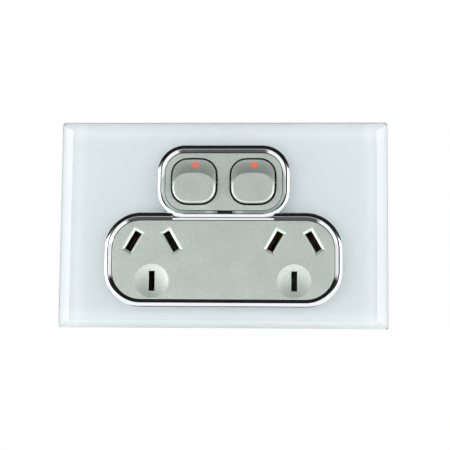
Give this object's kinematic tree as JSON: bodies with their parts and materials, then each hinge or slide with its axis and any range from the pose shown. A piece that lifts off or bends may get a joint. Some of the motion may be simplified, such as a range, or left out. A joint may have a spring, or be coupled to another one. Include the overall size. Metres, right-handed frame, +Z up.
{
  "type": "double switched socket outlet",
  "caption": "Wall socket outlet for flat three-pin plugs: bevelled glass fascia, chrome trim, silver front with pin slots and a rocker switch for each socket.",
  "frame": {"origin": "centre of the two wall fixing slots, on the wall plane", "axes": "+X right and +Z up as seen from the front, +Y into the wall; the front faces -Y"},
  "size_m": [0.118, 0.0317, 0.0746],
  "materials": {
    "glass": "polished clear glass over a white backing, bevelled edge",
    "white_abs": "fine matt white",
    "chrome": "bright chrome plating on plastic",
    "silver_abs": "satin silver paint on plastic",
    "white_polycarbonate": "matt moulded",
    "brass": "stamped and turned brass",
    "red_abs": "gloss",
    "plated_steel": "zinc plated",
    "contact_silver": "dull silver",
    "nylon": "natural nylon"
  },
  "bodies": {
    "outlet": {"glass_fascia": "glass", "fascia_carrier": "white_abs", "chrome_trim": "chrome", "socket_front": "silver_abs", "mounting_plate": "white_polycarbonate", "rear_housing": "white_polycarbonate", "active_contact_left": "brass", "active_contact_right": "brass", "neutral_strip": "brass", "earth_strip": "brass", "active_feed_strip": "brass", "fixed_contact_tips": "contact_silver", "terminal_active": "brass", "terminal_neutral": "brass", "terminal_earth": "brass", "terminal_loop": "brass", "terminal_screws": "plated_steel", "housing_screws": "plated_steel"},
    "switch_left": {"rocker_left": "silver_abs", "on_mark_left": "red_abs", "plunger_left": "nylon", "plunger_spring_left": "plated_steel"},
    "lever_left": {"contact_lever_left": "brass", "moving_tip_left": "contact_silver"},
    "switch_right": {"rocker_right": "silver_abs", "on_mark_right": "red_abs", "plunger_right": "nylon", "plunger_spring_right": "plated_steel"},
    "lever_right": {"contact_lever_right": "brass", "moving_tip_right": "contact_silver"}
  },
  "joints": [
    {"name": "rocker_left_hinge", "type": "hinge", "parent": "outlet", "child": "switch_left", "pos_m": [-0.0106, -0.0074, 0.0154], "axis": [-1, 0, 0], "range_deg": [0, 14]},
    {"name": "lever_left_hinge", "type": "hinge", "parent": "outlet", "child": "lever_left", "pos_m": [-0.0106, 0.0052, 0.0154], "axis": [1, 0, 0], "range_deg": [0, 14]},
    {"name": "rocker_right_hinge", "type": "hinge", "parent": "outlet", "child": "switch_right", "pos_m": [0.0106, -0.0074, 0.0154], "axis": [-1, 0, 0], "range_deg": [0, 14]},
    {"name": "lever_right_hinge", "type": "hinge", "parent": "outlet", "child": "lever_right", "pos_m": [0.0106, 0.0052, 0.0154], "axis": [1, 0, 0], "range_deg": [0, 14]}
  ],
  "couplings": [
    {"joint": "lever_left_hinge", "follows": "rocker_left_hinge", "ratio": 1},
    {"joint": "lever_right_hinge", "follows": "rocker_right_hinge", "ratio": 1}
  ]
}
